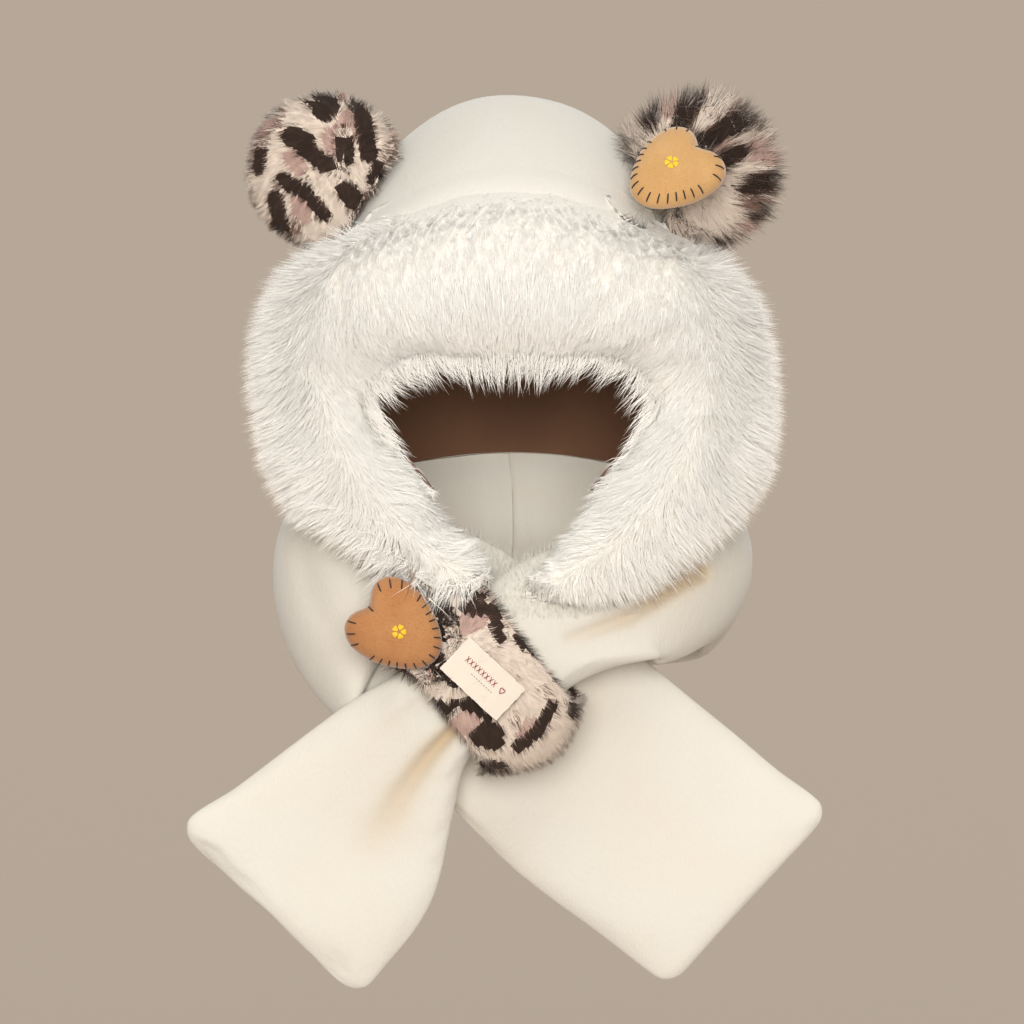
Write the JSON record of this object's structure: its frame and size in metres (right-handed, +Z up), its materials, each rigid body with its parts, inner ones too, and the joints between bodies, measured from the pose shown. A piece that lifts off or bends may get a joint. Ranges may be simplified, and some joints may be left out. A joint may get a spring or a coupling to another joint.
{
  "type": "animal hood scarf",
  "caption": "Plush hood with long fur round the face, spotted furry ears, charms, and scarf ends that cross through a furry loop.",
  "frame": {"origin": "top of the inside of the hood, where the crown of the head meets the lining", "axes": "+Z up, the face opening towards -Y, +X to the right as seen from the front"},
  "size_m": [0.3766, 0.2791, 0.5339],
  "materials": {
    "plush_cream": "soft short plush",
    "fur_white": "long faux fur",
    "fur_spotted": "faux fur with dark spots on cream",
    "lining_brown": "brushed fleece",
    "felt_tan": "short plush, stitched",
    "label_cotton": "woven cotton"
  },
  "bodies": {
    "root": {"hood_shell": "plush_cream", "hood_lining": "lining_brown", "fur_trim": "fur_white", "ear_left": "fur_spotted", "ear_right": "fur_spotted", "scarf_left": "plush_cream", "scarf_right": "plush_cream", "scarf_loop": "fur_spotted", "charm_left": "felt_tan", "charm_right": "felt_tan", "label": "label_cotton"}
  },
  "joints": []
}
